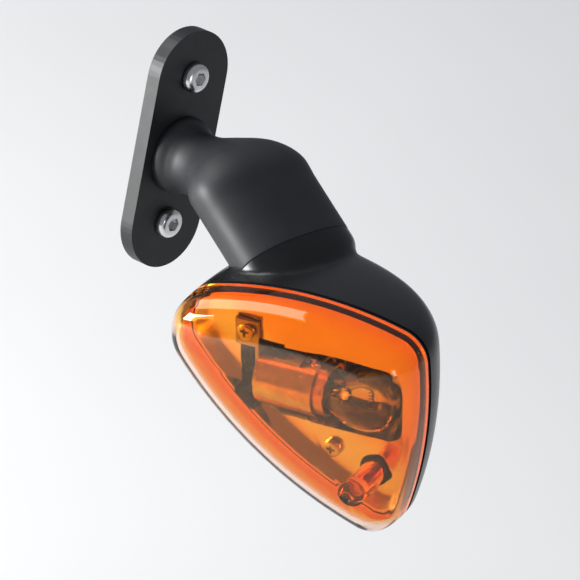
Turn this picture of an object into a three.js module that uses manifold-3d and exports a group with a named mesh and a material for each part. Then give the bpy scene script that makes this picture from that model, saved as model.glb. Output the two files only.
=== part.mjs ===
// Rear turn signal indicator of a sport motorcycle, right-hand side. Millimetres.
// +X points outboard, +Y forward on the motorcycle, +Z up. The lens faces rearward (-Y).
// Origin: centre of the base plate's back face, which lies against the rear fender.

import * as THREE from 'three';
import { mergeVertices } from 'three/addons/utils/BufferGeometryUtils.js';
import Module from 'manifold-3d';

const wasm = await Module();
wasm.setup();

const GAP = 0.3;

// Base plate: a stadium, its long axis leaning forward at the top
const PLATE_LEAN = THREE.MathUtils.degToRad(15);
const PLATE_THICK = 5;
const PLATE_HALF_WIDTH = 14.5;
const SCREW_SPACING = 46;
const SCREW_HOLE_R = 2.8;
const MOUNT_HEAD_R = 4.75;
const MOUNT_HEAD_H = 2.75;
const MOUNT_SHANK_R = 2.45;
const MOUNT_SHANK_LENGTH = 16;
const WIRE_HOLE_R = 5.2;
const WIRE_HOLE_DROP = 7.5;
const GROMMET_BORE_R = 3.4;

// Rubber stem: a round root that widens into a flat oval and droops outboard
const STEM_DROOP = THREE.MathUtils.degToRad(34);
const STEM_SWEEP = THREE.MathUtils.degToRad(8);
const STEM_START = new THREE.Vector3(34.3, 0, -0.8);
const STEM_LENGTH = 27;
const STEM_HALF_CHORD = 19.6;
const STEM_HALF_THICK = 11;
const STEM_BORE_R = 3.3;
const STEM_SIDES = 24;

// Head: the lens outline is three corner circles joined by shallow arcs, in the head's own
// frame, which has x outboard, y up and z out of the lens
const HEAD_ORIGIN = new THREE.Vector3(81, -22.9, -47.3);
const HEAD_YAW = THREE.MathUtils.degToRad(17);
const CORNERS = [
  { x: -26.8, y: 17.2, r: 13.6 },
  { x: 25.6, y: -25.4, r: 9 },
  { x: 30.1, y: 20.3, r: 10 },
];
const EDGE_R = 123;
const OUTLINE_STEPS = 45;
const OUTLINE_CENTRE = { x: 8, y: 6 };
const HOUSING_DEPTH = 40;
const HOUSING_ANCHOR = { x: -22, y: 30 };
const CAVITY_ANCHOR = { x: -21, y: 27.5 };
const WALL = 2.8;
const LENS_WALL = 2.4;
const RIM_Z = -1.8;
const GASKET_THICK = 1.2;
const GASKET_WIDTH = 2.5;

// Lens screw, from the back of the housing into a boss inside the lens
const LENS_SCREW = { x: 22.5, y: -19.5 };
const LENS_SCREW_SEAT_Z = -14;

// Reflector and its two fixings
const APRON_TOP_Z = -3.2;
const APRON_THICK = 1.2;
const REFLECTOR_SCREW = { x: 8.6, y: -15.2 };
const SOCKET_SCREW = { x: -19.5, y: 16.5 };
const POST_R = 3;

// Lamp: a 10 W bayonet bulb lying across the head, its axis along the head's x
const LAMP_POSITION = { x: 2.5, y: 2, z: -5 };
const SHELL_R = 8.6;
const SHELL_BORE_R = 7.9;
const SHELL_TOP = 1.5;
const SHELL_BOTTOM = -18;
const CAP_R = 7.5;
const PIN_Y = -1.5;
const PIN_R = 1;
const PUSH_TRAVEL = 1.5;
const TWIST = THREE.MathUtils.degToRad(20);

const material = (color, roughness, metalness = 0, opacity = 1) =>
  new THREE.MeshStandardMaterial({ color, roughness, metalness, opacity, transparent: opacity < 1 });

const BLACK_PLASTIC = material(0x121315, 0.42);
const BLACK_RUBBER = material(0x17191c, 0.62);
const AMBER = material(0xe8760c, 0.12, 0, 0.85);
const ZINC = material(0xb9bcbf, 0.32, 1);
const STEEL = material(0x8f9296, 0.4, 1);
const BRASS = material(0xb8923f, 0.35, 1);
const CHROMED = material(0xe2e3e5, 0.08, 1);
const PHENOLIC = material(0x5a3420, 0.6);
const GLASS = material(0xe9eef0, 0.05, 0, 0.3);
const TUNGSTEN = material(0x55585c, 0.4, 1);
const WIRE_GREEN = material(0x2c5a3a, 0.5);
const WIRE_BLACK = material(0x1b1b1d, 0.5);
const PLATE_BLACK = material(0x1d1f22, 0.5);

// ---- solids ----

const toSolid = (geometry) => {
  const bare = geometry.clone();
  bare.deleteAttribute('normal');
  bare.deleteAttribute('uv');
  const merged = mergeVertices(bare, 1e-4);
  const vertProperties = new Float32Array(merged.attributes.position.array);
  const triVerts = new Uint32Array(merged.index.array);
  return new wasm.Manifold(new wasm.Mesh({ numProp: 3, vertProperties, triVerts }));
};

const toGeometry = (solid) => {
  const { vertProperties, triVerts } = solid.getMesh();
  const geometry = new THREE.BufferGeometry();
  geometry.setAttribute('position', new THREE.BufferAttribute(new Float32Array(vertProperties), 3));
  geometry.setIndex(new THREE.BufferAttribute(new Uint32Array(triVerts), 1));
  geometry.computeVertexNormals();
  return geometry;
};

const join = (...geometries) =>
  toGeometry(geometries.map(toSolid).reduce((sum, solid) => sum.add(solid)));

const cut = (body, ...tools) =>
  toGeometry(tools.map(toSolid).reduce((rest, tool) => rest.subtract(tool), toSolid(body)));

const common = (a, b) => toGeometry(toSolid(a).intersect(toSolid(b)));

// A closed solid through rings of points that run counter-clockwise about the way they advance
const loft = (rings) => {
  const count = rings[0].length;
  const points = rings.flat();
  const middle = (ring) =>
    ring.reduce((sum, p) => sum.add(p), new THREE.Vector3()).divideScalar(ring.length);
  points.push(middle(rings[0]), middle(rings.at(-1)));
  const first = points.length - 2;
  const last = points.length - 1;
  const index = [];
  for (let i = 0; i < count; i += 1) {
    const next = (i + 1) % count;
    index.push(first, next, i);
    const top = (rings.length - 1) * count;
    index.push(last, top + i, top + next);
    for (let k = 0; k < rings.length - 1; k += 1) {
      const a = k * count;
      const b = a + count;
      index.push(a + i, a + next, b + next, a + i, b + next, b + i);
    }
  }
  const geometry = new THREE.BufferGeometry().setFromPoints(points);
  geometry.setIndex(index);
  geometry.computeVertexNormals();
  return geometry;
};

const lathe = (profile, segments = 20) =>
  new THREE.LatheGeometry(profile.map(([r, y]) => new THREE.Vector2(r, y)), segments);

// Cylinders and prisms that stand along z between two heights
const post = (x, y, z0, z1, r, sides = 14) =>
  new THREE.CylinderGeometry(r, r, z1 - z0, sides)
    .rotateX(Math.PI / 2)
    .translate(x, y, (z0 + z1) / 2);

const block = (x0, x1, y0, y1, z0, z1) =>
  new THREE.BoxGeometry(x1 - x0, y1 - y0, z1 - z0)
    .translate((x0 + x1) / 2, (y0 + y1) / 2, (z0 + z1) / 2);

const prism = (points, z0, z1, holes = []) => {
  const shape = new THREE.Shape(points);
  shape.holes = holes.map((hole) => new THREE.Path(hole));
  return new THREE.ExtrudeGeometry(shape, { depth: z1 - z0, bevelEnabled: false, curveSegments: 12 })
    .translate(0, 0, z0);
};

const tube = (points, r, steps, sides = 8) => {
  const ring = [];
  for (let i = 0; i < sides; i += 1) {
    const a = (i / sides) * 2 * Math.PI;
    ring.push(new THREE.Vector2(r * Math.cos(a), r * Math.sin(a)));
  }
  const path = new THREE.CatmullRomCurve3(points.map((p) => new THREE.Vector3(...p)));
  return new THREE.ExtrudeGeometry(new THREE.Shape(ring), { steps, extrudePath: path });
};

const circle = (x, y, r, sides = 20) => {
  const points = [];
  for (let i = 0; i < sides; i += 1) {
    const a = (i / sides) * 2 * Math.PI;
    points.push(new THREE.Vector2(x + r * Math.cos(a), y + r * Math.sin(a)));
  }
  return points;
};

// A screw along +z: its head stands on z = 0 and its shank runs down, with a hexagon or cross drive
const screw = ({ headR, headH, shankR, length, domed = false, drive = 'hex' }) => {
  const crown = domed
    ? [[headR, 0], [headR, headH * 0.25], [headR * 0.9, headH * 0.65], [headR * 0.66, headH],
      [0, headH]]
    : [[headR, 0], [headR, headH * 0.7], [headR * 0.85, headH], [0, headH]];
  const body = lathe([[0, -length], [shankR, -length], [shankR, 0], ...crown], 16)
    .rotateX(Math.PI / 2);
  const reach = headR * 0.52;
  const tool = drive === 'hex'
    ? post(0, 0, headH * 0.35, headH + 1, reach * 0.9, 6)
    : join(
      block(-reach, reach, -0.45, 0.45, headH * 0.4, headH + 1),
      block(-0.45, 0.45, -reach, reach, headH * 0.4, headH + 1),
    );
  return cut(body, tool);
};

// ---- outline of the head ----

// The six arcs as centre, radius and the span of directions that each one faces
const outlineArcs = () => {
  const edges = CORNERS.map((a, i) => {
    const b = CORNERS[(i + 1) % CORNERS.length];
    const ra = EDGE_R - a.r;
    const rb = EDGE_R - b.r;
    const d = Math.hypot(b.x - a.x, b.y - a.y);
    const ux = (b.x - a.x) / d;
    const uy = (b.y - a.y) / d;
    const along = (ra * ra - rb * rb + d * d) / (2 * d);
    const across = Math.sqrt(ra * ra - along * along);
    const x = a.x + along * ux - across * uy;
    const y = a.y + along * uy + across * ux;
    const from = Math.atan2(a.y - y, a.x - x);
    const to = Math.atan2(b.y - y, b.x - x);
    return { x, y, r: EDGE_R, from, to };
  });
  return CORNERS.flatMap((corner, i) => {
    const before = edges[(i + edges.length - 1) % edges.length];
    return [{ ...corner, from: before.to, to: edges[i].from }, edges[i]];
  });
};

const ARCS = outlineArcs();
const turn = (angle) => ((angle % (2 * Math.PI)) + 2 * Math.PI) % (2 * Math.PI);

const outline = (inset = 0) => {
  const points = [];
  for (let i = 0; i < OUTLINE_STEPS; i += 1) {
    const a = ARCS[0].from + (i / OUTLINE_STEPS) * 2 * Math.PI;
    const arc = ARCS.find(({ from, to }) => turn(a - from) <= turn(to - from) + 1e-9);
    points.push(new THREE.Vector2(
      arc.x + (arc.r - inset) * Math.cos(a),
      arc.y + (arc.r - inset) * Math.sin(a),
    ));
  }
  return points;
};

const ring = (inset, scale, z, about = OUTLINE_CENTRE) =>
  outline(inset).map((p) => new THREE.Vector3(
    about.x + (p.x - about.x) * scale,
    about.y + (p.y - about.y) * scale,
    z,
  ));

// A bowl that runs back from the rim and closes on its anchor point as a quarter ellipse
const bowl = (inset, depth, startZ, about) => {
  const rings = [ring(inset, 1, startZ, about)];
  for (const degrees of [12, 27, 42, 56, 69, 80, 87]) {
    const a = THREE.MathUtils.degToRad(degrees);
    const z = RIM_Z - (depth + RIM_Z) * Math.sin(a);
    rings.push(ring(inset, Math.cos(a), z, about));
  }
  return loft(rings.reverse());
};

// ---- stem ----

const stemAxes = (droop, sweep) => {
  const along = new THREE.Vector3(
    Math.cos(droop) * Math.cos(sweep),
    -Math.cos(droop) * Math.sin(sweep),
    -Math.sin(droop),
  );
  const forward = new THREE.Vector3(Math.sin(sweep), Math.cos(sweep), 0);
  const up = new THREE.Vector3().crossVectors(along, forward);
  return { forward, up, along };
};

const oval = (halfChord, halfThick, power, shift = 0) => {
  const bend = (value) => Math.sign(value) * Math.abs(value) ** (2 / power);
  const points = [];
  for (let i = 0; i < STEM_SIDES; i += 1) {
    const a = (i / STEM_SIDES) * 2 * Math.PI;
    points.push([shift + halfChord * bend(Math.cos(a)), halfThick * bend(Math.sin(a))]);
  }
  return points;
};

const stemSection = (centre, droop, sweep, halfChord, halfThick, power = 2.4) => {
  const { forward, up } = stemAxes(droop, sweep);
  return oval(halfChord, halfThick, power).map(([x, y]) =>
    centre.clone().addScaledVector(forward, x).addScaledVector(up, y));
};

// The same kind of ring in the stem's own frame: x forward, y up, z along the stem
const stemRing = (z, halfChord, halfThick, shift = 0, power = 2.4) =>
  oval(halfChord, halfThick, power, shift).map(([x, y]) => new THREE.Vector3(x, y, z));

const stemTurn = (() => {
  const { forward, up, along } = stemAxes(STEM_DROOP, STEM_SWEEP);
  return new THREE.Quaternion().setFromRotationMatrix(
    new THREE.Matrix4().makeBasis(forward, up, along),
  );
})();

// ---- groups ----

const group = new THREE.Group();

const mountGroup = new THREE.Group();
mountGroup.rotation.x = -PLATE_LEAN;
group.add(mountGroup);

const stemGroup = new THREE.Group();
stemGroup.position.copy(STEM_START);
stemGroup.quaternion.copy(stemTurn);
group.add(stemGroup);

const headGroup = new THREE.Group();
headGroup.position.copy(HEAD_ORIGIN);
headGroup.rotation.set(Math.PI / 2, 0, HEAD_YAW, 'ZYX');
group.add(headGroup);

// The lamp's own frame has y along the bulb, towards the glass
const lampGroup = new THREE.Group();
lampGroup.position.set(LAMP_POSITION.x, LAMP_POSITION.y, LAMP_POSITION.z);
lampGroup.rotation.z = -Math.PI / 2;
headGroup.add(lampGroup);

group.updateMatrixWorld(true);
const stemToHead = headGroup.matrixWorld.clone().invert().multiply(stemGroup.matrixWorld);
const stemToRow = stemGroup.matrixWorld;

const place = (parent, name, geometry, look) => {
  const mesh = new THREE.Mesh(geometry, look);
  mesh.name = name;
  parent.add(mesh);
  return mesh;
};

// ---- base plate and its screws ----

// Shape x runs across the plate, shape y up its long axis, and depth outboard
const outboard = new THREE.Matrix4().makeBasis(
  new THREE.Vector3(0, 1, 0),
  new THREE.Vector3(0, 0, 1),
  new THREE.Vector3(1, 0, 0),
);

const stadium = (half, r, steps = 14) => {
  const points = [];
  for (const [centre, start] of [[half, 0], [-half, Math.PI]]) {
    for (let i = 0; i <= steps; i += 1) {
      const a = start + (i / steps) * Math.PI;
      points.push(new THREE.Vector2(r * Math.cos(a), centre + r * Math.sin(a)));
    }
  }
  return points;
};

const plate = prism(stadium(SCREW_SPACING / 2, PLATE_HALF_WIDTH), 0, PLATE_THICK, [
  circle(0, SCREW_SPACING / 2, SCREW_HOLE_R),
  circle(0, -SCREW_SPACING / 2, SCREW_HOLE_R),
  circle(0, -WIRE_HOLE_DROP, WIRE_HOLE_R),
]).applyMatrix4(outboard);
place(mountGroup, 'base_plate', plate, PLATE_BLACK);

for (const [name, side] of [['mount_screw_upper', 1], ['mount_screw_lower', -1]]) {
  const button = screw({
    headR: MOUNT_HEAD_R,
    headH: MOUNT_HEAD_H,
    shankR: MOUNT_SHANK_R,
    length: MOUNT_SHANK_LENGTH,
    domed: true,
  }).applyMatrix4(outboard);
  place(mountGroup, name, button, ZINC)
    .position.set(PLATE_THICK + GAP, 0, side * SCREW_SPACING / 2);
}

const grommet = lathe([
  [GROMMET_BORE_R, 0.3], [WIRE_HOLE_R - GAP, 0.3], [WIRE_HOLE_R - GAP, 4.7],
  [GROMMET_BORE_R, 4.7], [GROMMET_BORE_R, 0.3],
]).rotateX(Math.PI / 2).applyMatrix4(outboard);
place(mountGroup, 'wire_grommet', grommet, BLACK_RUBBER).position.set(0, 0, -WIRE_HOLE_DROP);

// ---- rubber stem ----

const stemPoint = (z) => new THREE.Vector3(0, 0, z).applyMatrix4(stemToRow);
const degrees = THREE.MathUtils.degToRad;
const stemRings = [
  stemSection(new THREE.Vector3(PLATE_THICK + GAP, 0, -1.5), 0, 0, 12, 12, 2),
  stemSection(new THREE.Vector3(7.6, 0, -1.6), 0, 0, 11.8, 11.8, 2),
  stemSection(new THREE.Vector3(9.8, 0, -1.9), 0, 0, 10.6, 10.6, 2),
  stemSection(new THREE.Vector3(13, 0, -2.2), 0, 0, 9.9, 9.9, 2),
  stemSection(new THREE.Vector3(18, 0, -2.1), degrees(-2), 0, 11, 9.7, 2.05),
  stemSection(new THREE.Vector3(23, 0.3, -1.2), degrees(2), degrees(2), 14, 10.1, 2.15),
  stemSection(new THREE.Vector3(28.5, 0.5, -0.2), degrees(16), degrees(5), 17.8, 10.8, 2.3),
  stemSection(STEM_START, STEM_DROOP, STEM_SWEEP, STEM_HALF_CHORD, STEM_HALF_THICK),
  stemSection(stemPoint(8), STEM_DROOP, STEM_SWEEP, STEM_HALF_CHORD, STEM_HALF_THICK),
  stemSection(stemPoint(18), STEM_DROOP, STEM_SWEEP, STEM_HALF_CHORD, STEM_HALF_THICK),
  stemSection(stemPoint(STEM_LENGTH), STEM_DROOP, STEM_SWEEP, STEM_HALF_CHORD, STEM_HALF_THICK),
];

const INSERT_HALF_CHORD = 14.5;
const INSERT_HALF_THICK = 7;
const INSERT_THICK = 2.7;
const FIXING_X = 9.5;
const fixings = [['housing_screw_front', FIXING_X], ['housing_screw_rear', -FIXING_X]];

const wireHoleLow = new THREE.Vector3(0, 0, -WIRE_HOLE_DROP)
  .applyAxisAngle(new THREE.Vector3(1, 0, 0), -PLATE_LEAN);
const bore = tube([
  [4, wireHoleLow.y, wireHoleLow.z],
  [8, wireHoleLow.y * 0.92, wireHoleLow.z * 0.92],
  [14, wireHoleLow.y * 0.6, wireHoleLow.z * 0.55],
  [22, 0.2, -1.4],
  stemPoint(0).toArray(),
  stemPoint(14).toArray(),
  stemPoint(STEM_LENGTH + 1).toArray(),
], STEM_BORE_R, 14, 12);

const insertPocket = loft([
  stemRing(STEM_LENGTH - INSERT_THICK - 2 * GAP, INSERT_HALF_CHORD + GAP, INSERT_HALF_THICK + GAP),
  stemRing(STEM_LENGTH + 1, INSERT_HALF_CHORD + GAP, INSERT_HALF_THICK + GAP),
]).applyMatrix4(stemToRow);

const screwTips = fixings.map(([, x]) =>
  post(x, 0, STEM_LENGTH - 7.5, STEM_LENGTH - 1, 2.5, 12).applyMatrix4(stemToRow));

place(group, 'stem_rubber', cut(loft(stemRings), bore, insertPocket, ...screwTips), BLACK_RUBBER);

// Steel plate moulded into the outer end, tapped for the two housing screws
const insertZ = STEM_LENGTH - GAP;
const insert = cut(
  loft([
    stemRing(insertZ - INSERT_THICK, INSERT_HALF_CHORD, INSERT_HALF_THICK),
    stemRing(insertZ, INSERT_HALF_CHORD, INSERT_HALF_THICK),
  ]),
  post(0, 0, 0, STEM_LENGTH + 1, 3.4),
  ...fixings.map(([, x]) => post(x, 0, 0, STEM_LENGTH + 1, 2.4)),
);
place(stemGroup, 'stem_head_insert', insert, STEEL);

const collarZ = STEM_LENGTH + GAP;
const COLLAR_WALL = 3;
for (const [name, x] of fixings) {
  const fixing = screw({ headR: 3.5, headH: 2.4, shankR: 2.05, length: 9.5, drive: 'cross' });
  place(stemGroup, name, fixing, ZINC).position.set(x, 0, collarZ + COLLAR_WALL + GAP);
}

// ---- housing ----

const collarOuter = loft([
  stemRing(collarZ, STEM_HALF_CHORD, STEM_HALF_THICK),
  stemRing(collarZ + 4, STEM_HALF_CHORD * 0.98, STEM_HALF_THICK),
  stemRing(collarZ + 10, 16.8, 10.2, -1.8),
  stemRing(collarZ + 16, 11.5, 8.5, -4.5),
  stemRing(collarZ + 22, 6, 6, -6.5),
]).applyMatrix4(stemToHead);

const collarInner = loft([
  stemRing(collarZ + COLLAR_WALL, 16, 8.2),
  stemRing(collarZ + 8, 14, 7.8, -1.2),
  stemRing(collarZ + 14, 10, 6.8, -3.6),
  stemRing(collarZ + 21, 5, 5, -6),
]).applyMatrix4(stemToHead);

// The collar's end wall carries the stem's end plate, and the stem sinks into the bowl up to it
const collarEnd = loft([
  stemRing(collarZ, STEM_HALF_CHORD, STEM_HALF_THICK),
  stemRing(collarZ + COLLAR_WALL, STEM_HALF_CHORD * 0.98, STEM_HALF_THICK),
]).applyMatrix4(stemToHead);
const stemRoom = loft([
  stemRing(collarZ - 22, STEM_HALF_CHORD + GAP, STEM_HALF_THICK + GAP),
  stemRing(collarZ, STEM_HALF_CHORD + GAP, STEM_HALF_THICK + GAP),
]).applyMatrix4(stemToHead);

const cavity = bowl(WALL, HOUSING_DEPTH - WALL, RIM_Z + 1, CAVITY_ANCHOR);
const screwPost = (at, z0, z1, r = POST_R) => post(at.x, at.y, z0, z1, r, 12);
const screwPosts = [
  screwPost(REFLECTOR_SCREW, -36, APRON_TOP_Z - APRON_THICK - GAP),
  screwPost(SOCKET_SCREW, -37, APRON_TOP_Z - APRON_THICK - GAP),
  screwPost(LENS_SCREW, LENS_SCREW_SEAT_Z - 4, RIM_Z - 1, 4.4),
];
const bowlOuter = bowl(0, HOUSING_DEPTH, RIM_Z, HOUSING_ANCHOR);
const trimmedPosts = screwPosts.map((solid) => common(solid, bowlOuter));
const shell = cut(join(bowlOuter, collarOuter), cavity, collarInner);
const housing = cut(
  join(shell, collarEnd, ...trimmedPosts),
  stemRoom,
  screwPost(LENS_SCREW, LENS_SCREW_SEAT_Z - 1, 1, 2),
  screwPost(LENS_SCREW, LENS_SCREW_SEAT_Z - 30, LENS_SCREW_SEAT_Z, 3.7),
  screwPost(REFLECTOR_SCREW, -14, 0, 1.7),
  screwPost(SOCKET_SCREW, -14, 0, 1.7),
  post(0, 0, collarZ - 1, collarZ + COLLAR_WALL + 1, 3.4).applyMatrix4(stemToHead),
  ...fixings.map(([, x]) =>
    post(x, 0, collarZ - 1, collarZ + COLLAR_WALL + 1, 2.4).applyMatrix4(stemToHead)),
);
place(headGroup, 'housing', housing, BLACK_PLASTIC);

// ---- gasket and lens ----

const gasket = prism(outline(0.5), -GAP - GASKET_THICK, -GAP, [outline(0.5 + GASKET_WIDTH)]);
place(headGroup, 'lens_gasket', gasket, BLACK_RUBBER);

const lensOuter = loft([
  ring(0, 1, 0), ring(0, 1, 2), ring(0.3, 1, 6.5), ring(1, 1, 9.2), ring(2.3, 1, 11.6),
  ring(4.3, 1, 13.6), ring(6.4, 0.96, 14.9), ring(6.4, 0.8, 16), ring(6.4, 0.5, 16.9),
  ring(6.4, 0.2, 17.3),
]);
const lensInner = loft([
  ring(LENS_WALL, 1, -1), ring(LENS_WALL, 1, 2), ring(LENS_WALL + 0.3, 1, 6), ring(3.4, 1, 8.2),
  ring(4.4, 1, 10), ring(6.2, 1, 11.6), ring(6.4, 0.9, 12.6), ring(6.4, 0.72, 13.6),
  ring(6.4, 0.44, 14.4), ring(6.4, 0.15, 14.8),
]);
const lensBoss = common(screwPost(LENS_SCREW, -1, 16, 3.9), lensOuter);
const lens = cut(join(cut(lensOuter, lensInner), lensBoss), screwPost(LENS_SCREW, -2, 8, 1.9));
place(headGroup, 'lens', lens, AMBER);

const lensScrew = screw({ headR: 3.3, headH: 2.3, shankR: 1.6, length: 21, drive: 'cross' })
  .rotateX(Math.PI);
place(headGroup, 'lens_screw', lensScrew, ZINC)
  .position.set(LENS_SCREW.x, LENS_SCREW.y, LENS_SCREW_SEAT_Z - GAP);

// ---- reflector ----

const roundedBox = (x0, x1, y0, y1, r, z) => {
  const points = [];
  const centres = [[x1 - r, y1 - r], [x0 + r, y1 - r], [x0 + r, y0 + r], [x1 - r, y0 + r]];
  centres.forEach(([x, y], quarter) => {
    for (let i = 0; i <= 4; i += 1) {
      const a = (quarter + i / 4) * (Math.PI / 2);
      points.push(new THREE.Vector3(x + r * Math.cos(a), y + r * Math.sin(a), z));
    }
  });
  return points;
};

const POCKET_FLOOR_Z = -15.6;
const POCKET_WALL = 1.2;
const pocket = (grow, floorZ, topZ) => {
  const y = LAMP_POSITION.y;
  return loft([
    roundedBox(-14 - grow, 26.5 + grow, y - 6.5 - grow, y + 6.5 + grow, 4, floorZ),
    roundedBox(-15.5 - grow, 31 + grow, y - 11.3 - grow, y + 11.3 + grow, 5, topZ),
  ]);
};
const apron = prism(outline(WALL + 0.8), APRON_TOP_Z - APRON_THICK, APRON_TOP_Z);
// A standing rim closes the gap between the apron and the lens
const RIM_WALL = 0.9;
const RIM_WALL_TOP_Z = 1;
const rimWall = cut(
  prism(outline(WALL + 0.8), APRON_TOP_Z - APRON_THICK, RIM_WALL_TOP_Z),
  prism(outline(WALL + 0.8 + RIM_WALL), -20, 5),
);
const fitCavity = bowl(WALL + 0.5, HOUSING_DEPTH - WALL - 0.6, 2, CAVITY_ANCHOR);
const reflectorBody = common(
  join(apron, rimWall, pocket(POCKET_WALL, POCKET_FLOOR_Z - POCKET_WALL, APRON_TOP_Z - 0.4)),
  fitCavity,
);
const reflector = cut(
  reflectorBody,
  pocket(0, POCKET_FLOOR_Z, APRON_TOP_Z + 0.6),
  block(-22.5, -8, LAMP_POSITION.y - 9.2, LAMP_POSITION.y + 11.6, -20, 2),
  screwPost(REFLECTOR_SCREW, -20, 2, 1.9),
  screwPost(SOCKET_SCREW, -20, 2, 1.9),
  screwPost(LENS_SCREW, -20, 2, 5.2),
);
place(headGroup, 'reflector', reflector, CHROMED);

const smallScrew = () =>
  screw({ headR: 2.8, headH: 1.9, shankR: 1.4, length: 9.5, drive: 'cross' });
place(headGroup, 'reflector_screw', smallScrew(), ZINC)
  .position.set(REFLECTOR_SCREW.x, REFLECTOR_SCREW.y, APRON_TOP_Z + GAP);

// ---- bulb socket, along the lamp's y ----

const socketBody = lathe([
  [3, SHELL_BOTTOM], [SHELL_R, SHELL_BOTTOM], [SHELL_R, SHELL_TOP], [SHELL_BORE_R, SHELL_TOP],
  [SHELL_BORE_R, SHELL_BOTTOM + 0.8], [3, SHELL_BOTTOM + 0.8], [3, SHELL_BOTTOM],
], 24);
const slotBottom = PIN_Y - PUSH_TRAVEL - PIN_R - GAP;
const slotTop = PIN_Y + PIN_R + GAP;
const pinWay = PIN_R + GAP;
const slots = [];
for (const side of [0, Math.PI]) {
  for (const [a, top] of [[0, slotTop], [TWIST / 2, slotTop], [TWIST, SHELL_TOP + 1]]) {
    slots.push(block(6, 10, slotBottom, top, -pinWay, pinWay).rotateY(side + a));
  }
}
place(lampGroup, 'socket_shell', cut(socketBody, ...slots), ZINC);

const BRACKET_THICK = 1.1;
const bracketY = SHELL_BOTTOM - GAP - BRACKET_THICK;
// The bracket is drawn in the head's axes: an upright behind the shell and a foot on the apron
const upX = LAMP_POSITION.x + bracketY;
const footZ = APRON_TOP_Z + GAP;
const bracket = cut(
  join(
    block(upX, upX + BRACKET_THICK, -4, 13, -11.5, footZ + BRACKET_THICK),
    block(-23.5, upX + BRACKET_THICK, 12, 20.5, footZ, footZ + BRACKET_THICK),
  ),
  post(0, 0, -5, 5, 3, 16).rotateY(Math.PI / 2).translate(upX, LAMP_POSITION.y, LAMP_POSITION.z),
  screwPost(SOCKET_SCREW, -5, 5, 1.9),
);
place(headGroup, 'socket_bracket', bracket, STEEL);
place(headGroup, 'socket_screw', smallScrew(), ZINC)
  .position.set(SOCKET_SCREW.x, SOCKET_SCREW.y, footZ + BRACKET_THICK + GAP);

place(lampGroup, 'spring_seat', lathe([
  [1.7, -16.9], [7.5, -16.9], [7.5, -15.9], [1.7, -15.9], [1.7, -16.9],
]), PHENOLIC);
place(lampGroup, 'live_terminal', lathe([
  [0, -21], [1.2, -21], [1.2, -15.6], [5.4, -15.6], [5.4, -15.1], [0, -15.1],
]), BRASS);

// ---- spring contact ----

const coil = [];
const COIL_TURNS = 3;
const COIL_STEPS = 10 * COIL_TURNS;
for (let i = 0; i <= COIL_STEPS; i += 1) {
  const a = (i / 10) * 2 * Math.PI;
  coil.push([4.6 * Math.cos(a), -14.5 + (i / COIL_STEPS) * 3.3, 4.6 * Math.sin(a)]);
}
place(lampGroup, 'contact_spring', tube(coil, 0.3, COIL_STEPS, 6), STEEL);
place(lampGroup, 'contact_disc', lathe([
  [2.4, -10.6], [7.4, -10.6], [7.4, -9.1], [2.4, -9.1], [2.4, -10.6],
]), PHENOLIC);
place(lampGroup, 'contact_rivet', lathe([
  [0, -11.4], [2, -11.4], [2, -8.8], [3.4, -8.8], [3.2, -8.3], [0, -8.3],
]), BRASS);

// ---- bulb ----

const capBody = lathe([
  [5.2, -6.8], [7, -6.8], [CAP_R, -6.2], [CAP_R, 5], [CAP_R - 0.6, 5], [CAP_R - 0.6, -5.6],
  [5.2, -5.6], [5.2, -6.8],
], 24);
const pin = (side) => post(0, 0, CAP_R - 0.5, SHELL_R + 0.5, PIN_R, 12)
  .rotateY(Math.PI / 2 + side)
  .translate(0, PIN_Y, 0);
place(lampGroup, 'bulb_cap', join(capBody, pin(0), pin(Math.PI)), BRASS);
place(lampGroup, 'bulb_insulator', lathe([
  [2.2, -7.2], [4.9, -6.9], [4.9, -5.2], [2.2, -5.2], [2.2, -7.2],
]), PHENOLIC);
place(lampGroup, 'bulb_contact', lathe([
  [0, -8], [1.2, -7.8], [1.9, -7.1], [1.9, -5.4], [0, -5.4],
], 16), ZINC);
place(lampGroup, 'bulb_glass', lathe([
  [0, 26.5], [3.5, 25.9], [6.8, 23.8], [8.8, 20.3], [9.3, 16], [8.8, 12], [7.4, 8.6], [6.3, 6],
  [5.8, 2.5], [5, 2.5], [5.5, 6.2], [6.7, 9.2], [8, 12.3], [8.5, 16], [8, 19.9], [6.3, 23.1],
  [3.2, 25.1], [0, 25.6],
].reverse()), GLASS);
place(lampGroup, 'bulb_mount', lathe([
  [0, -2], [3.6, -2], [3.6, 3], [2.2, 6], [1.8, 10], [0, 10],
], 16), GLASS);

const filament = [[-1.3, 10.3, 0], [-3, 13, 0], [-3.6, 16, 0]];
for (let i = 0; i <= 24; i += 1) {
  const a = (i / 6) * 2 * Math.PI;
  filament.push([-3 + i * 0.25, 17 + 0.5 * Math.cos(a), 0.5 * Math.sin(a)]);
}
filament.push([3.6, 16, 0], [3, 13, 0], [1.3, 10.3, 0]);
place(lampGroup, 'bulb_filament', tube(filament, 0.16, 40, 5), TUNGSTEN);

// ---- leads inside the head, from the socket to the stem's bore ----

const leadEnd = (x) => new THREE.Vector3(x, 0, collarZ + 0.6).applyMatrix4(stemToHead).toArray();
const leadTurn = (x) => new THREE.Vector3(x, 0, collarZ + 6).applyMatrix4(stemToHead).toArray();
place(headGroup, 'lead_live', tube([
  [-19.3, 2, -5], [-24, 2.2, -7], [-27.5, 8, -11], [-26, 16.5, -14.5], [-20, 21.2, -17.5],
  leadTurn(-1.6), leadEnd(-1.6),
], 0.9, 18, 6), WIRE_GREEN);
place(headGroup, 'lead_ground', tube([
  [-17.9, -1.5, -8.5], [-21, -1.2, -9.5], [-25.5, 4, -14], [-26, 14.5, -18.5], [-21.5, 21.5, -20.5],
  leadTurn(1.6), leadEnd(1.6),
], 0.9, 18, 6), WIRE_BLACK);

export default group;
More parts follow.
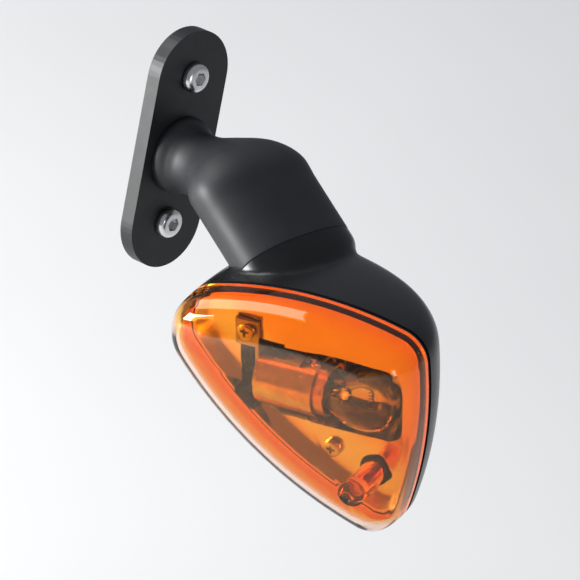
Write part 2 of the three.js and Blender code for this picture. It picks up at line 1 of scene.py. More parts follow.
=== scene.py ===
# %% [markdown]
# # A motorcycle's rear turn signal
# The indicator hangs off the right-hand side of the rear fender. A dark base plate is screwed to
# the fender, a black rubber stem reaches outboard and down, and its end carries a black housing
# with a rounded triangular amber lens. The mechanical model is loaded first and stays as it is.
# Each visible piece is then made again here with finer surfaces, in the same place and size.

# %% Load the mechanical model
import math

import bmesh
import bpy
import numpy as np
from mathutils import Matrix, Vector


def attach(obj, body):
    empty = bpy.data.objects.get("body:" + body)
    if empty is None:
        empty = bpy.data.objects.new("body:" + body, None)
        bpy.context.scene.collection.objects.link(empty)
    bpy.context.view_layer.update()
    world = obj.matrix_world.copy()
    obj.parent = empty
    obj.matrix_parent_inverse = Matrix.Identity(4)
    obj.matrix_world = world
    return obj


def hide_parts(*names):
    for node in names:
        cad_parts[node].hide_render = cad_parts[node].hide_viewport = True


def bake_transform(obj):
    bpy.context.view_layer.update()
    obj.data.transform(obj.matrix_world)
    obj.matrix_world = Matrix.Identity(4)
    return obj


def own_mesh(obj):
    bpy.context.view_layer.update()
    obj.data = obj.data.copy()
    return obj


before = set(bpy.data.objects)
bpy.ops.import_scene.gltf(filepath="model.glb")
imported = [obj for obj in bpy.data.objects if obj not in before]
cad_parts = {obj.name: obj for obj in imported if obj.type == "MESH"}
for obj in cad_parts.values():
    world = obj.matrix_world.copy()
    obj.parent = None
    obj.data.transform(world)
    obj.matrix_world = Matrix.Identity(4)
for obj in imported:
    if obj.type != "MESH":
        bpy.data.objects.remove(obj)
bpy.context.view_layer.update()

# %% [markdown]
# ## Camera
# The indicator is seen from behind, outboard and a little above: half way round from the rear
# towards the side, and 27 degrees down. A long lens from over a metre away keeps the sides of
# the housing nearly parallel, as they look from across a garage.

# %% Camera from behind and outboard
AZIMUTH, ELEVATION = 45.0, 27.0
AIM = Vector((0.0605, -0.0085, -0.0245))
DISTANCE = 1.43

camera_data = bpy.data.cameras.new("camera")
camera_data.lens = 300
camera = bpy.data.objects.new("camera", camera_data)
bpy.context.collection.objects.link(camera)
azimuth, elevation = math.radians(AZIMUTH), math.radians(ELEVATION)
towards_camera = Vector((
    math.sin(azimuth) * math.cos(elevation),
    -math.cos(azimuth) * math.cos(elevation),
    math.sin(elevation),
))
camera.location = AIM + towards_camera * DISTANCE
camera.rotation_mode = "QUATERNION"
camera.rotation_quaternion = (-towards_camera).to_track_quat("-Z", "Y")
bpy.context.scene.camera = camera
print("camera at", [round(v, 3) for v in camera.location])

# %% [markdown]
# ## The frames of the object
# The head is turned 17 degrees outboard, so its pieces are easiest to draw in its own frame: x
# outboard, y up, and z out of the lens. The stem has a frame too: x forward, y up across the
# stem, and z along it. The bulb lies across the head, and its frame has y along the bulb.
# Sizes are written in millimetres, and each frame turns them into metres in place.

# %% Frames
MM = 0.001


def place_frame(origin, x_axis, y_axis, z_axis):
    turn = Matrix((x_axis, y_axis, z_axis)).transposed().to_4x4()
    return Matrix.Translation(Vector(origin) * MM) @ turn @ Matrix.Scale(MM, 4)


HEAD_YAW = math.radians(17)
outboard = Vector((math.cos(HEAD_YAW), math.sin(HEAD_YAW), 0))
rearward = Vector((math.sin(HEAD_YAW), -math.cos(HEAD_YAW), 0))
upward = Vector((0, 0, 1))
HEAD = place_frame((81, -22.9, -47.3), outboard, upward, rearward)

LAMP = HEAD @ Matrix.Translation((2.5, 2, -5)) @ Matrix.Rotation(-math.pi / 2, 4, "Z")

PLATE_LEAN = math.radians(15)
plate_long = Vector((0, math.sin(PLATE_LEAN), math.cos(PLATE_LEAN)))
plate_across = Vector((0, math.cos(PLATE_LEAN), -math.sin(PLATE_LEAN)))
PLATE = place_frame((0, 0, 0), plate_across, plate_long, Vector((1, 0, 0)))


def stem_axes(droop, sweep):
    along = Vector((
        math.cos(droop) * math.cos(sweep),
        -math.cos(droop) * math.sin(sweep),
        -math.sin(droop),
    ))
    forward = Vector((math.sin(sweep), math.cos(sweep), 0))
    return forward, along.cross(forward), along


DROOP, SWEEP = math.radians(34), math.radians(8)
STEM_START = Vector((34.3, 0, -0.8))
STEM_LENGTH = 27
HALF_CHORD = 19.6
STEM = place_frame(STEM_START, *stem_axes(DROOP, SWEEP))
ROW = Matrix.Scale(MM, 4)
print("head faces", [round(v, 3) for v in rearward])

# %% [markdown]
# ## Skins from rings
# Most of the pieces are smooth closed forms: a lens, a housing, a stem, a bulb. A skin laid over
# a row of rings makes all of them, and a ring of one point closes an end as a pole. Where a
# piece has a wall, its rings run up the inside and back down the outside, so the skin is closed
# and has a real thickness.

# %% Skins, spins and prisms
def close_seams(mesh, reach):
    """Merges points closer than reach, in metres, and turns every face outwards."""
    work = bmesh.new()
    work.from_mesh(mesh)
    bmesh.ops.remove_doubles(work, verts=work.verts, dist=reach)
    bmesh.ops.recalc_face_normals(work, faces=work.faces)
    work.to_mesh(mesh)
    work.free()


def mesh_object(name, verts, faces, smooth=True):
    mesh = bpy.data.meshes.new(name)
    mesh.from_pydata([tuple(v) for v in verts], [], faces)
    mesh.validate()
    close_seams(mesh, 1e-7)
    mesh.polygons.foreach_set("use_smooth", [smooth] * len(mesh.polygons))
    made = bpy.data.objects.new(name, mesh)
    bpy.context.collection.objects.link(made)
    return made


def skin(name, rings, where=ROW, loop=False, smooth=True):
    verts, faces, starts = [], [], []
    for ring in rings:
        starts.append((len(verts), len(ring)))
        verts.extend(where @ Vector(p) for p in ring)
    pairs = list(zip(starts, starts[1:]))
    if loop:
        pairs.append((starts[-1], starts[0]))
    for (a, na), (b, nb) in pairs:
        for i in range(max(na, nb)):
            j = (i + 1) % max(na, nb)
            if na == 1:
                faces.append((a, b + j, b + i))
            elif nb == 1:
                faces.append((a + i, a + j, b))
            else:
                faces.append((a + i, a + j, b + j, b + i))
    if not loop:
        for start, count in (starts[0], starts[-1]):
            if count > 1:
                faces.append(tuple(range(start, start + count)))
    return mesh_object(name, verts, faces, smooth)


def spin(name, profile, where, segments=64, loop=False, smooth=True):
    """profile is (radius, height) pairs; the rings stand along the frame's y."""
    rings = []
    for r, y in profile:
        if r == 0:
            rings.append([(0, y, 0)])
            continue
        steps = [2 * math.pi * i / segments for i in range(segments)]
        rings.append([(r * math.cos(a), y, r * math.sin(a)) for a in steps])
    return skin(name, rings, where, loop, smooth)


def smooth_through(points, steps):
    """More points along a smooth line through the given ones, which may hold any numbers."""
    rows = np.array(points, float)
    padded = np.vstack([2 * rows[0] - rows[1], rows, 2 * rows[-1] - rows[-2]])
    out = []
    for k in range(len(rows) - 1):
        p0, p1, p2, p3 = padded[k:k + 4]
        for i in range(steps):
            t = i / steps
            out.append(0.5 * (2 * p1 + (p2 - p0) * t + (2 * p0 - 5 * p1 + 4 * p2 - p3) * t * t
                              + (3 * p1 - p0 - 3 * p2 + p3) * t ** 3))
    out.append(rows[-1])
    return [tuple(map(float, row)) for row in out]


def prism(name, points, z0, z1, where, smooth=False):
    return skin(name, [[(x, y, z) for x, y in points] for z in (z0, z1)], where, smooth=smooth)


def round_points(x, y, r, count=48):
    steps = [2 * math.pi * i / count for i in range(count)]
    return [(x + r * math.cos(a), y + r * math.sin(a)) for a in steps]


def bake(piece):
    """Applies the piece's modifiers, so that it is a plain mesh."""
    graph = bpy.context.evaluated_depsgraph_get()
    graph.update()
    mesh = bpy.data.meshes.new_from_object(piece.evaluated_get(graph))
    piece.modifiers.clear()
    piece.data = mesh
    return piece


def carve(piece, *tools, how="DIFFERENCE"):
    for tool in tools:
        step = piece.modifiers.new("carve", "BOOLEAN")
        step.operation, step.solver, step.object = how, "MANIFOLD", tool
    bake(piece)
    for tool in tools:
        bpy.data.objects.remove(tool)
    return piece


def soften(piece, width, segments=3, angle=35):
    step = piece.modifiers.new("edge", "BEVEL")
    step.width, step.segments = width * MM, segments
    step.limit_method, step.angle_limit = "ANGLE", math.radians(angle)
    step.harden_normals = True
    return bake(piece)


def shade_by_angle(piece, angle=35):
    work = bmesh.new()
    work.from_mesh(piece.data)
    for edge in work.edges:
        edge.smooth = edge.is_manifold and edge.calc_face_angle(0) < math.radians(angle)
    for face in work.faces:
        face.smooth = True
    work.to_mesh(piece.data)
    work.free()
    return piece


def finish_piece(piece, look, body, slot, *nodes):
    piece.data.materials.clear()
    piece.data.materials.append(look)
    if body:
        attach(piece, body)
    if nodes:
        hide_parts(*nodes)
    print(piece.name, len(piece.data.polygons), "faces")
    return piece


# %% [markdown]
# ## Finishes
# Every finish starts from one Principled shader. Fine noise moves the colour, the roughness and
# the surface a little, at the scale that moulding, plating or dust gives the real part.

# %% A finish with fine variation
def new_look(name):
    look = bpy.data.materials.new(name)
    look.use_nodes = True
    tree = look.node_tree
    tree.nodes.clear()
    output = tree.nodes.new("ShaderNodeOutputMaterial")
    shader = tree.nodes.new("ShaderNodeBsdfPrincipled")
    tree.links.new(shader.outputs["BSDF"], output.inputs["Surface"])
    place = tree.nodes.new("ShaderNodeTexCoord")
    return look, tree, shader, place.outputs["Object"]


def noise(tree, coordinates, scale, detail=3, rough=0.55):
    node = tree.nodes.new("ShaderNodeTexNoise")
    node.inputs["Scale"].default_value = scale
    node.inputs["Detail"].default_value = detail
    node.inputs["Roughness"].default_value = rough
    tree.links.new(coordinates, node.inputs["Vector"])
    return node.outputs["Fac"]


def blend_colours(tree, factor, low, high, start=0.3, end=0.7):
    ramp = tree.nodes.new("ShaderNodeValToRGB")
    ramp.color_ramp.elements[0].position = start
    ramp.color_ramp.elements[0].color = (*low, 1)
    ramp.color_ramp.elements[1].position = end
    ramp.color_ramp.elements[1].color = (*high, 1)
    tree.links.new(factor, ramp.inputs["Fac"])
    return ramp.outputs["Color"]


def spread(tree, factor, low, high):
    node = tree.nodes.new("ShaderNodeMapRange")
    node.inputs["To Min"].default_value = low
    node.inputs["To Max"].default_value = high
    tree.links.new(factor, node.inputs["Value"])
    return node.outputs["Result"]


def bump(tree, shader, height, strength, distance):
    node = tree.nodes.new("ShaderNodeBump")
    node.inputs["Strength"].default_value = strength
    node.inputs["Distance"].default_value = distance
    tree.links.new(height, node.inputs["Height"])
    tree.links.new(node.outputs["Normal"], shader.inputs["Normal"])


def varied(name, low, high, rough, metallic=0.0, colour_scale=60, grain_scale=1500,
           grain=0.15, depth=0.00002, specular=0.5):
    look, tree, shader, place = new_look(name)
    colour = blend_colours(tree, noise(tree, place, colour_scale), low, high)
    tree.links.new(colour, shader.inputs["Base Color"])
    tree.links.new(
        spread(tree, noise(tree, place, colour_scale * 2.7), *rough), shader.inputs["Roughness"])
    bump(tree, shader, noise(tree, place, grain_scale, detail=2), grain, depth)
    shader.inputs["Metallic"].default_value = metallic
    shader.inputs["Specular IOR Level"].default_value = specular
    return look


stem_look = varied("stem_rubber", (0.008, 0.009, 0.0105), (0.015, 0.017, 0.019), (0.46, 0.60),
                   colour_scale=45, grain_scale=2200, grain=0.25, specular=0.5)
housing_look = varied("housing_black", (0.005, 0.005, 0.0055), (0.009, 0.009, 0.0095),
                      (0.22, 0.32), colour_scale=35, grain_scale=1800, grain=0.08, specular=0.4)
seal_look = varied("seal_rubber", (0.008, 0.008, 0.009), (0.016, 0.016, 0.018), (0.55, 0.7))
plate_look = varied("plate_paint", (0.008, 0.0085, 0.009), (0.016, 0.0165, 0.018), (0.36, 0.52),
                    colour_scale=80, grain_scale=900, grain=0.3, depth=0.00004, specular=0.4)
zinc_look = varied("bright_zinc", (0.60, 0.61, 0.62), (0.78, 0.78, 0.77), (0.18, 0.32), 1.0,
                   colour_scale=300, grain=0.1)
steel_look = varied("pressed_steel", (0.38, 0.38, 0.39), (0.52, 0.52, 0.52), (0.3, 0.45), 1.0,
                    colour_scale=200)
brass_look = varied("brass", (0.66, 0.45, 0.17), (0.80, 0.60, 0.27), (0.22, 0.38), 1.0,
                    colour_scale=180)
board_look = varied("brown_board", (0.13, 0.055, 0.025), (0.21, 0.10, 0.045), (0.45, 0.6))
mirror_look = varied("mirror_coating", (0.86, 0.87, 0.88), (0.94, 0.94, 0.94), (0.16, 0.24), 1.0,
                     colour_scale=40, grain_scale=400, grain=0.05)
tungsten_look = varied("tungsten", (0.18, 0.18, 0.2), (0.3, 0.3, 0.33), (0.3, 0.5), 1.0)
green_lead_look = varied("green_lead", (0.012, 0.09, 0.03), (0.025, 0.15, 0.05), (0.35, 0.5))
black_lead_look = varied("black_lead", (0.01, 0.01, 0.011), (0.02, 0.02, 0.022), (0.35, 0.5))
print(len(bpy.data.materials), "finishes so far")

# %% [markdown]
# Clear pieces let nearly all light through. Their shader bends it and only tints it a little at
# each surface. The bulb is plain clear glass.

# %% A clear finish and the bulb's glass
def clear(name, rough, ior, grain=0.03):
    look, tree, shader, place = new_look(name)
    tree.links.new(spread(tree, noise(tree, place, 120), *rough), shader.inputs["Roughness"])
    bump(tree, shader, noise(tree, place, 160, detail=1), grain, 0.0002)
    shader.inputs["Transmission Weight"].default_value = 1.0
    shader.inputs["IOR"].default_value = ior
    return look, tree, shader, place


glass_look, glass_tree, glass_shader, glass_place = clear("bulb_glass", (0.0, 0.01), 1.45)
glass_tree.links.new(
    blend_colours(glass_tree, noise(glass_tree, glass_place, 30), (0.97, 0.98, 0.98),
                  (1.0, 1.0, 1.0)), glass_shader.inputs["Base Color"])
print("bulb_glass")

# %% [markdown]
# ## Outline of the head
# The lens is a triangle with three round corners, and its sides swell slightly. Three corner
# circles joined by three shallow arcs draw it exactly, and moving in from the outline by a set
# distance only shortens every radius, so the lens, seal and housing all follow the same line.

# %% The outline's six arcs
CORNERS = [(-26.8, 17.2, 13.6), (25.6, -25.4, 9.0), (30.1, 20.3, 10.0)]
EDGE_R = 123.0
CENTRE = (8.0, 6.0)


def edge_arc(a, b):
    ra, rb = EDGE_R - a[2], EDGE_R - b[2]
    dx, dy = b[0] - a[0], b[1] - a[1]
    d = math.hypot(dx, dy)
    along = (ra * ra - rb * rb + d * d) / (2 * d)
    across = math.sqrt(ra * ra - along * along)
    x = a[0] + (along * dx - across * dy) / d
    y = a[1] + (along * dy + across * dx) / d
    return x, y, math.atan2(a[1] - y, a[0] - x), math.atan2(b[1] - y, b[0] - x)


edges = [edge_arc(CORNERS[i], CORNERS[(i + 1) % 3]) for i in range(3)]
arcs = []
for i, (x, y, r) in enumerate(CORNERS):
    arcs.append((x, y, r, edges[i - 1][3], edges[i][2], 20))
    arcs.append((edges[i][0], edges[i][1], EDGE_R, edges[i][2], edges[i][3], 26))


def outline(inset=0.0):
    points = []
    for x, y, r, start, end, count in arcs:
        sweep = (end - start) % (2 * math.pi)
        for i in range(count):
            a = start + sweep * i / count
            points.append((x + (r - inset) * math.cos(a), y + (r - inset) * math.sin(a)))
    return points


def outline_ring(inset, scale, z, about=CENTRE):
    return [(about[0] + (x - about[0]) * scale, about[1] + (y - about[1]) * scale, z)
            for x, y in outline(inset)]


print(len(outline()), "points round the head")

# %% [markdown]
# ## Amber of the lens
# The lens is clear amber acrylic, polished outside. Light crosses it on its way in and again on
# its way out, and each crossing tints it, so a fairly light amber already gives a deep orange.
# A real lens is one amber all through. This one is tinted by place, as a shortcut to its look,
# and both tints are painted light: redder from the face towards the rim, a painted deeper tint
# for light that crosses more amber there, and pale in a strip along the lower long side, a
# painted glow of the bright floor seen through both walls. A Mapping node turns the coordinates
# into the head's frame, so both follow the lens's depth and outline.

# %% Amber in the head's frame
LENS_SCREW = (22.5, -19.5)
amber_look, amber_tree, amber_shader, amber_place = clear("amber_acrylic", (0.02, 0.05), 1.49)
to_head = amber_tree.nodes.new("ShaderNodeMapping")
head_turn = HEAD.to_3x3().normalized().inverted()
to_head.inputs["Rotation"].default_value = head_turn.to_euler()
to_head.inputs["Location"].default_value = head_turn @ -HEAD.translation
amber_tree.links.new(amber_place, to_head.inputs["Vector"])
split = amber_tree.nodes.new("ShaderNodeSeparateXYZ")
amber_tree.links.new(to_head.outputs["Vector"], split.inputs["Vector"])
flat = amber_tree.nodes.new("ShaderNodeVectorMath")
flat.operation = "MULTIPLY"
flat.inputs[1].default_value = (1, 1, 0)
amber_tree.links.new(to_head.outputs["Vector"], flat.inputs[0])


def fade(tree, value, start, end):
    node = tree.nodes.new("ShaderNodeMapRange")
    node.interpolation_type = "SMOOTHSTEP"
    node.inputs["From Min"].default_value = start * MM
    node.inputs["From Max"].default_value = end * MM
    tree.links.new(value, node.inputs["Value"])
    return node.outputs["Result"]


def away_from(tree, x, y):
    node = tree.nodes.new("ShaderNodeVectorMath")
    node.operation = "DISTANCE"
    node.inputs[1].default_value = (x * MM, y * MM, 0)
    tree.links.new(flat.outputs["Vector"], node.inputs[0])
    return node.outputs["Value"]


def arithmetic(tree, operation, a, b):
    node = tree.nodes.new("ShaderNodeMath")
    node.operation = operation
    tree.links.new(a, node.inputs[0])
    tree.links.new(b, node.inputs[1])
    return node.outputs["Value"]


# %% Painted tint: redder towards the rim, painted floor glow along the long side
# Painted deeper tint: redder from the face to the rim, for light crossing more amber there; the
# boss keeps the face's tint.
on_boss = fade(amber_tree, away_from(amber_tree, *LENS_SCREW), 4.8, 4.1)
face_depth = fade(amber_tree, split.outputs["Z"], 1.5, 14)
face_like = arithmetic(amber_tree, "MAXIMUM", face_depth, on_boss)
painted_depth_tint = blend_colours(amber_tree, face_like, (0.98, 0.25, 0.02), (1.0, 0.43, 0.03), 0, 1)

# Painted light: a pale pink strip along the lower long side, the bright floor's glow seen through
# both walls.
near_edge = fade(amber_tree, away_from(amber_tree, *edges[0][:2]), EDGE_R - 9.5, EDGE_R - 6.5)
above_skirt = fade(amber_tree, split.outputs["Z"], 3, 7)
painted_floor_glow = amber_tree.nodes.new("ShaderNodeMix")
painted_floor_glow.data_type = "RGBA"
painted_floor_glow.inputs["B"].default_value = (1.0, 0.74, 0.62, 1)
amber_tree.links.new(arithmetic(amber_tree, "MULTIPLY", near_edge, above_skirt),
                     painted_floor_glow.inputs["Factor"])
amber_tree.links.new(painted_depth_tint, painted_floor_glow.inputs["A"])
amber_tree.links.new(painted_floor_glow.outputs["Result"], amber_shader.inputs["Base Color"])
print("amber_acrylic")

# %% [markdown]
# ## Lens
# The lens is a deep cap: a short straight skirt, a round shoulder and an almost flat face. Its
# wall is 2.4 mm thick, and one boss inside takes the screw that holds it. Both walls are rings
# of the outline, moved in and forward along a smooth line.

# %% Lens with its wall and screw boss
lens_outside = [(0, 1, 0), (0, 1, 2), (0.3, 1, 6.5), (1, 1, 9.2), (2.3, 1, 11.6), (4.3, 1, 13.6),
                (6.4, 0.96, 14.9), (6.4, 0.8, 16), (6.4, 0.5, 16.9), (6.4, 0.2, 17.28)]
lens_inside = [(2.4, 1, 0), (2.4, 1, 2), (2.7, 1, 6), (3.4, 1, 8.2), (4.4, 1, 10), (6.2, 1, 11.6),
               (6.4, 0.9, 12.6), (6.4, 0.72, 13.6), (6.4, 0.44, 14.4), (6.4, 0.15, 14.8)]

inside_rings = [outline_ring(*row) for row in reversed(smooth_through(lens_inside, 4))]
outside_rings = [outline_ring(*row) for row in smooth_through(lens_outside, 4)]
lens = skin("lens_shell", [[(*CENTRE, 14.82)], *inside_rings, *outside_rings, [(*CENTRE, 17.32)]],
            HEAD)
boss = prism("boss", round_points(*LENS_SCREW, 3.9), -0.9, 13.2, HEAD)
boss_hole = prism("boss_hole", round_points(*LENS_SCREW, 1.9), -2, 8, HEAD)
carve(lens, boss, how="UNION")
carve(lens, boss_hole)
shade_by_angle(lens, 40)
finish_piece(lens, amber_look, "lens", "lens", "lens")

# %% [markdown]
# ## Seal
# A soft black seal lies between lens and housing, and shows as a thin dark line all round.

# %% Seal between lens and housing
seal = skin("lens_seal", [
    outline_ring(0.55, 1, -0.3), outline_ring(0.42, 1, -0.55), outline_ring(0.42, 1, -1.25),
    outline_ring(0.55, 1, -1.5), outline_ring(3.0, 1, -1.5), outline_ring(3.0, 1, -0.3),
], HEAD, loop=True)
shade_by_angle(seal, 40)
finish_piece(seal, seal_look, "head", "seal_rubber", "lens_gasket")

# %% [markdown]
# ## Housing
# The housing is one moulding: a bowl that runs back from the lens and flows into a short collar
# that takes the stem. Joining a bowl and a collar leaves a hard line between them, so the joined
# form is remeshed and smoothed while it is still solid. The rim, the seat for the stem and the
# hollow are cut afterwards, which keeps their edges crisp.

# %% Bowl and collar forms
ANCHOR, CAVITY_ANCHOR = (-22.0, 30.0), (-21.0, 27.5)
REFLECTOR_SCREW = (8.6, -15.2)
SOCKET_SCREW = (-19.5, 16.5)
CLAMP_SCREW_X = 9.5
LENS_SCREW_SEAT_Z = -14
RIM_Z, DEPTH, WALL = -1.8, 40.0, 2.8
COLLAR_Z = STEM_LENGTH + 0.3


def bowl(name, inset, depth, about, lip):
    rings = [outline_ring(inset, 1, lip, about), outline_ring(inset, 1, RIM_Z, about)]
    for step in range(1, 24):
        a = math.pi / 2 * step / 24
        z = RIM_Z - (depth + RIM_Z) * math.sin(a)
        rings.append(outline_ring(inset, math.cos(a), z, about))
    rings.append([(*about, -depth)])
    return skin(name, rings, HEAD)


def oval(half_chord, half_thick, power=2.4, shift=0.0, count=72):
    points = []
    for i in range(count):
        a = 2 * math.pi * i / count
        c, s = math.cos(a), math.sin(a)
        points.append((shift + half_chord * math.copysign(abs(c) ** (2 / power), c),
                       half_thick * math.copysign(abs(s) ** (2 / power), s)))
    return points


def stem_form(name, rows):
    rings = [[(x, y, z) for x, y in oval(a, b, 2.4, shift)] for z, a, b, shift in rows]
    return skin(name, rings, STEM)


housing = bowl("housing_shell", 0, DEPTH, ANCHOR, 3.5)
collar = stem_form("collar", smooth_through([
    (COLLAR_Z - 5, 19.6, 11, 0), (COLLAR_Z + 1, 19.6, 11, 0), (COLLAR_Z + 5, 19.1, 11, 0),
    (COLLAR_Z + 10, 16.8, 10.2, -1.8), (COLLAR_Z + 16, 11.5, 8.5, -4.5),
    (COLLAR_Z + 22, 6, 6, -6.5),
], 4))
carve(housing, collar, how="UNION")
remesh = housing.modifiers.new("even", "REMESH")
remesh.mode, remesh.voxel_size = "VOXEL", 0.85 * MM
relax = housing.modifiers.new("flow", "SMOOTH")
relax.factor, relax.iterations = 0.5, 14
bake(housing)
print("joined form:", len(housing.data.polygons), "faces")

# %% Rim, stem seat, hollow and screw holes
above_rim = prism("above_rim", [(-70, -70), (70, -70), (70, 70), (-70, 70)], RIM_Z, 40, HEAD)
stem_seat = stem_form("stem_seat", [(COLLAR_Z - 24, 19.9, 11.3, 0), (COLLAR_Z, 19.9, 11.3, 0)])
hollow = bowl("hollow", WALL, DEPTH - WALL, CAVITY_ANCHOR, 6)
carve(housing, above_rim, stem_seat, hollow)

collar_end = stem_form("collar_end", [(COLLAR_Z, 19.4, 10.9, 0), (COLLAR_Z + 3, 18.9, 10.8, 0)])
carve(housing, collar_end, how="UNION")
collar_hollow = stem_form("collar_hollow", [
    (COLLAR_Z + 3, 16, 8.2, 0), (COLLAR_Z + 8, 14, 7.8, -1.2), (COLLAR_Z + 14, 10, 6.8, -3.6),
    (COLLAR_Z + 21, 5, 5, -6)])
screw_recess = prism("screw_recess", round_points(*LENS_SCREW, 3.7), -60, LENS_SCREW_SEAT_Z,
                     HEAD)
screw_way = prism("screw_way", round_points(*LENS_SCREW, 2.0), LENS_SCREW_SEAT_Z - 1, 1, HEAD)
wire_way = prism("wire_way", round_points(0, 0, 3.4), COLLAR_Z - 1, COLLAR_Z + 4, STEM)
carve(housing, collar_hollow)
posts = [(REFLECTOR_SCREW, 3.0, -20.5, -4.7), (SOCKET_SCREW, 3.0, -33, -4.7),
         (LENS_SCREW, 4.4, -18, -2.8)]
for at, r, z0, z1 in posts:
    carve(housing, prism("post", round_points(*at, r), z0, z1, HEAD), how="UNION")
carve(housing, screw_recess, screw_way, wire_way)
for x in (-CLAMP_SCREW_X, CLAMP_SCREW_X):
    carve(housing, prism("hole", round_points(x, 0, 2.4), COLLAR_Z - 1, COLLAR_Z + 4, STEM))
shade_by_angle(housing, 42)
finish_piece(housing, housing_look, "head", "housing", "housing")

# %% [markdown]
# ## Rubber stem
# The stem leaves the plate as a round root with a small foot, thickens into a flat oval, and
# turns outboard and down. It bends in use: near the plate it sways, and near the head it nods.
# One smooth line of sections runs the whole length. It is split in two where neither bend
# reaches, and the two halves share the section where they meet.

# %% Sections along the stem
stem_rows = [
    # x, y, z of the centre, droop and sweep in degrees, half chord, half thickness, squareness
    (5.3, 0, -1.5, 0, 0, 11.9, 11.9, 2), (6.6, 0, -1.55, 0, 0, 12.0, 12.0, 2),
    (7.9, 0, -1.65, 0, 0, 11.6, 11.6, 2), (9.8, 0, -1.9, 0, 0, 10.6, 10.6, 2),
    (13, 0, -2.2, 0, 0, 9.9, 9.9, 2), (18, 0, -2.1, -2, 0, 11, 9.7, 2.05),
    (23, 0.3, -1.2, 2, 2, 14, 10.1, 2.15), (28.5, 0.5, -0.2, 16, 5, 17.8, 10.8, 2.3),
    (34.3, 0, -0.8, 34, 8, 19.6, 11, 2.4),
]
split_row = len(stem_rows) - 1
along = stem_axes(DROOP, SWEEP)[2]
for t in (8, 18, 26, 26.9, 27.2):
    edge = {26.9: 0.12, 27.2: 0.35}.get(t, 0)
    centre = STEM_START + along * t
    stem_rows.append((*centre, 34, 8, HALF_CHORD - edge, 11 - edge, 2.4))


def stem_ring(row):
    x, y, z, droop, sweep, half_chord, half_thick, power = row
    forward, up, _ = stem_axes(math.radians(droop), math.radians(sweep))
    centre = Vector((x, y, z))
    return [centre + forward * a + up * b for a, b in oval(half_chord, half_thick, power)]


STEPS = 12
all_rows = smooth_through(stem_rows, STEPS)
split_at = split_row * STEPS
root_rows, outer_rows = all_rows[:split_at + 1], all_rows[split_at:]
print(len(root_rows) + len(outer_rows), "sections")

# %% Two halves of the stem
root_half = skin("stem_root_half", [stem_ring(row) for row in root_rows])
outer_half = skin("stem_outer_half", [stem_ring(row) for row in outer_rows])
pocket_for_plate = stem_form("pocket_for_plate", [(23.7, 14.8, 7.3, 0), (30, 14.8, 7.3, 0)])
wire_bore = prism("wire_bore", round_points(0, 0, 3.3), 12, 30, STEM)
tip_ways = [prism("tip_way", round_points(x, 0, 2.5), 19, 25, STEM)
            for x in (-CLAMP_SCREW_X, CLAMP_SCREW_X)]
carve(outer_half, pocket_for_plate, wire_bore, *tip_ways)
shade_by_angle(root_half, 50)
shade_by_angle(outer_half, 50)
finish_piece(root_half, stem_look, None, "stem_rubber", "stem_rubber")
finish_piece(outer_half, stem_look, None, "stem_rubber", "stem_rubber")
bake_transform(root_half)
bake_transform(outer_half)

# %% [markdown]
# ## Base plate
# A flat steel plate with round ends, painted black. Its edges are softened by a small bevel, as
# paint and blanking leave them, and its three holes are cut through before the bevel.

# %% Base plate
def stadium(half, r, count=28):
    points = []
    for centre, start in ((half, 0), (-half, math.pi)):
        for i in range(count + 1):
            a = start + math.pi * i / count
            points.append((r * math.cos(a), centre + r * math.sin(a)))
    return points


SCREW_SPACING, WIRE_HOLE_Y = 46, -7.5
plate = prism("base_plate_body", stadium(SCREW_SPACING / 2, 14.5), 0, 5, PLATE)
for y, r in ((SCREW_SPACING / 2, 2.8), (-SCREW_SPACING / 2, 2.8), (WIRE_HOLE_Y, 5.2)):
    carve(plate, prism("hole", round_points(0, y, r), -1, 6, PLATE))
soften(plate, 0.6)
finish_piece(plate, plate_look, "mount", "plate", "base_plate")

grommet = spin("wire_grommet_ring", [(3.4, 0.5), (3.6, 0.3), (4.7, 0.3), (4.9, 0.5), (4.9, 4.5),
                                     (4.7, 4.7), (3.6, 4.7), (3.4, 4.5)],
               PLATE @ Matrix.Translation((0, WIRE_HOLE_Y, 0))
               @ Matrix.Rotation(math.pi / 2, 4, "X"), 48, loop=True)
shade_by_angle(grommet, 50)
finish_piece(grommet, seal_look, "mount", "seal_rubber", "wire_grommet")

# %% [markdown]
# ## Mounting screws
# Two zinc-plated button-head screws hold the plate. One screw is turned from its profile and its
# hexagon is cut. Geometry Nodes then sets a copy at each hole along the plate, so the spacing is
# one number.

# %% One button-head screw
def turned_screw(name, head_r, head_h, shank_r, length, drive, domed=False):
    if domed:
        head = [(head_r, 0.15), (head_r, 0.6)]
        for i in range(1, 9):
            a = math.pi / 2 * i / 9
            head.append((head_r * 0.62 + head_r * 0.38 * math.cos(a),
                         0.6 + (head_h - 0.6) * math.sin(a)))
        head.append((head_r * 0.6, head_h))
    else:
        head = [(head_r, 0.1), (head_r, head_h * 0.6), (head_r * 0.93, head_h * 0.85),
                (head_r * 0.75, head_h)]
    profile = [(0, -length), (shank_r * 0.75, -length), (shank_r, -length + 0.6), (shank_r, 0),
               (head_r - 0.15, 0), *head, (0, head_h)]
    upright = Matrix.Scale(MM, 4) @ Matrix.Rotation(math.pi / 2, 4, "X")
    made = spin(name, profile, upright, 48)
    if drive == "hex":
        reach = head_r * 0.47
        tool = prism("hex", round_points(0, 0, reach, 6), head_h * 0.35, head_h + 1,
                     Matrix.Scale(MM, 4))
        carve(made, tool)
    else:
        for turn in (0, math.pi / 2):
            bar = [(-head_r * 0.5, -0.45), (head_r * 0.5, -0.45), (head_r * 0.5, 0.45),
                   (-head_r * 0.5, 0.45)]
            tool = prism("slot", bar, head_h * 0.4, head_h + 1,
                         Matrix.Scale(MM, 4) @ Matrix.Rotation(turn, 4, "Z"))
            carve(made, tool)
    shade_by_angle(made, 32)
    return made


button_screw = turned_screw("button_screw", 4.75, 2.75, 2.45, 16, "hex", domed=True)
print("button screw:", len(button_screw.data.polygons), "faces")


